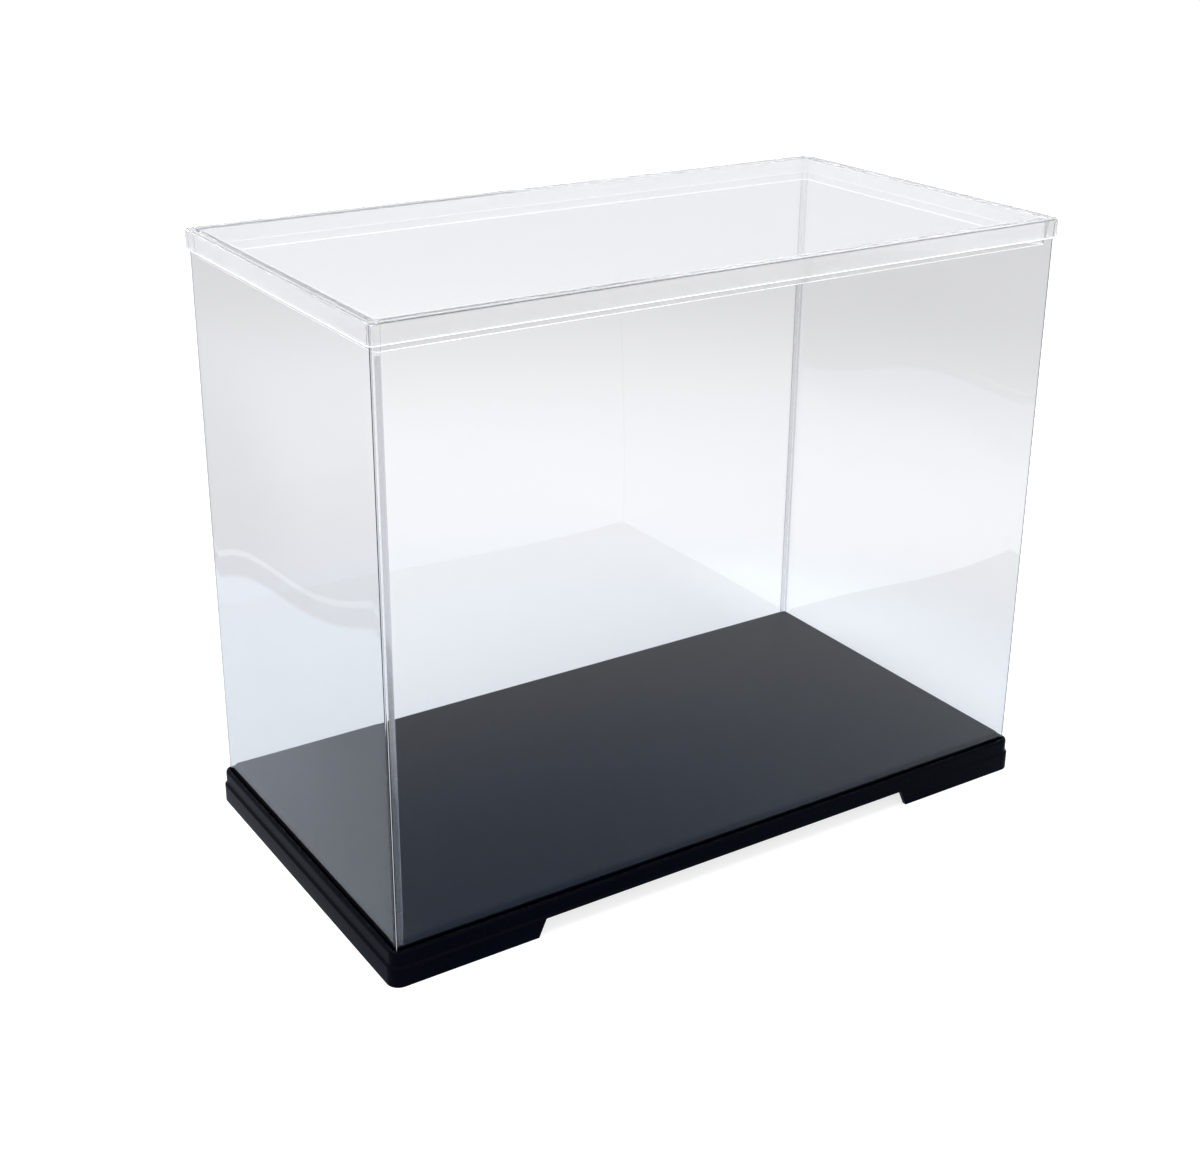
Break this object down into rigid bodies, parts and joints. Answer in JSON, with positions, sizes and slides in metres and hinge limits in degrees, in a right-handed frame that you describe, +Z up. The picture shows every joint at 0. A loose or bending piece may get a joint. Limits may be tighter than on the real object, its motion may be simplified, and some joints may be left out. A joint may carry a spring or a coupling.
{
  "type": "figure display case",
  "caption": "Clear rectangular display case with a black base, a raised platform, a sleeve of clear sheets and a lift-off clear lid.",
  "frame": {"origin": "centre of the base's underside, at the height of the surface that the case stands on", "axes": "+X along the long side to the right, +Y from the front long side to the back, +Z up"},
  "size_m": [0.3714, 0.1968, 0.3],
  "materials": {
    "black_plastic": "satin moulded black",
    "clear_sheet": "clear folded sheet",
    "clear_lid": "clear polished moulding"
  },
  "bodies": {
    "base": {"base": "black_plastic"},
    "sleeve": {"front_right_sheet": "clear_sheet", "back_left_sheet": "clear_sheet"},
    "lid": {"lid": "clear_lid"}
  },
  "joints": [
    {"name": "sleeve_lift", "type": "slide", "parent": "base", "child": "sleeve", "axis": [0, 0, 1], "range_m": [0, 0.1]},
    {"name": "lid_lift", "type": "slide", "parent": "sleeve", "child": "lid", "axis": [0, 0, 1], "range_m": [0, 0.06]}
  ]
}
